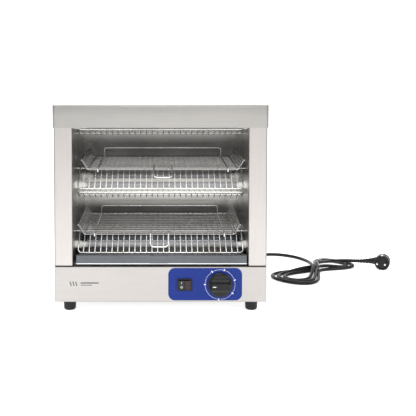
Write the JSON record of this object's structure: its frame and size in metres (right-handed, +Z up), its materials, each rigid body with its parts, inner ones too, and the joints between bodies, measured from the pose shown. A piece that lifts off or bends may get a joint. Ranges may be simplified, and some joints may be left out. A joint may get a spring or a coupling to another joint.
{
  "type": "two-deck toaster oven",
  "caption": "Open fronted countertop toaster with two sliding wire racks between pairs of quartz heater tubes, a crumb tray, a twin switch and a timer knob.",
  "frame": {"origin": "centre of the object's box, without the cord, on the surface it stands on", "axes": "+X to the right seen from the front, the open front faces -Y, +Z up"},
  "size_m": [0.8355, 0.5349, 0.434],
  "materials": {
    "steel_brushed": "brushed stainless sheet",
    "steel_bright": "bright annealed reflector sheet",
    "steel_dull": "zinc coated sheet",
    "wire_chrome": "nickel plated wire",
    "blue_plate": "printed polyester plate",
    "black_plastic": "moulded black plastic",
    "red_plastic": "dark red translucent rocker",
    "timer_plastic": "moulded case",
    "shaft_steel": "turned steel",
    "quartz": "clear quartz",
    "coil": "oxidised resistance wire",
    "ceramic": "white steatite ceramic",
    "rubber_black": "black rubber",
    "screw_steel": "plated screws",
    "wire_cover": "silicone covered wire",
    "tie_white": "coated twist tie",
    "tray_steel": "bright tray sheet"
  },
  "bodies": {
    "housing": {"top_cover": "steel_brushed", "left_side_panel": "steel_brushed", "right_side_panel": "steel_brushed", "front_fascia": "steel_brushed", "rear_panel": "steel_brushed", "base_pan": "steel_dull", "chamber_floor": "steel_dull", "tray_rails": "steel_dull", "tube_brackets": "steel_dull", "rear_reflector": "steel_bright", "left_liner": "steel_bright", "right_liner": "steel_bright", "roof_reflector": "steel_bright", "label_plate": "blue_plate", "switch_housing": "black_plastic", "timer_body": "timer_plastic", "bottom_tubes": "quartz", "middle_tubes": "quartz", "top_tubes": "quartz", "heater_coils": "coil", "tube_end_caps": "ceramic", "bottom_guard_grid": "wire_chrome", "bottom_guard_front": "wire_chrome", "upper_guard_grid": "wire_chrome", "upper_guard_front": "wire_chrome", "lower_guard_grid": "wire_chrome", "lower_guard_front": "wire_chrome", "top_guard_grid": "wire_chrome", "top_guard_front": "wire_chrome", "feet": "rubber_black", "foot_screws": "screw_steel", "cover_screws": "screw_steel", "side_screws": "screw_steel", "rear_screws": "screw_steel", "terminal_block": "timer_plastic", "inner_wiring": "wire_cover", "cord_boot": "rubber_black", "cord_lead": "rubber_black", "cord_hank": "rubber_black", "cord_tail": "rubber_black", "plug_body": "rubber_black", "cord_tie": "tie_white", "plug_pins": "screw_steel"},
    "upper_rack": {"upper_rack_floor": "wire_chrome", "upper_rack_flaps": "wire_chrome", "upper_rack_runner": "wire_chrome", "upper_rack_handle": "wire_chrome"},
    "lower_rack": {"lower_rack_floor": "wire_chrome", "lower_rack_flaps": "wire_chrome", "lower_rack_runner": "wire_chrome", "lower_rack_handle": "wire_chrome"},
    "crumb_tray": {"crumb_tray": "tray_steel"},
    "left_rocker": {"left_rocker": "black_plastic"},
    "right_rocker": {"right_rocker": "red_plastic"},
    "timer_knob": {"timer_knob": "black_plastic", "timer_shaft": "shaft_steel"}
  },
  "joints": [
    {"name": "upper_rack_slide", "type": "slide", "parent": "housing", "child": "upper_rack", "axis": [0, -0.9977, -0.068], "range_m": [0, 0.14]},
    {"name": "lower_rack_slide", "type": "slide", "parent": "housing", "child": "lower_rack", "axis": [0, -0.9977, -0.068], "range_m": [0, 0.14]},
    {"name": "crumb_tray_slide", "type": "slide", "parent": "housing", "child": "crumb_tray", "axis": [0, -1, 0], "range_m": [0, 0.18]},
    {"name": "left_rocker_tilt", "type": "hinge", "parent": "housing", "child": "left_rocker", "pos_m": [0.044, -0.12815, 0.0575], "axis": [-1, 0, 0], "range_deg": [0, 18]},
    {"name": "right_rocker_tilt", "type": "hinge", "parent": "housing", "child": "right_rocker", "pos_m": [0.057, -0.12815, 0.0575], "axis": [-1, 0, 0], "range_deg": [0, 18]},
    {"name": "timer_turn", "type": "hinge", "parent": "housing", "child": "timer_knob", "pos_m": [0.125, -0.13815, 0.0575], "axis": [0, 1, 0], "range_deg": [0, 275]}
  ]
}
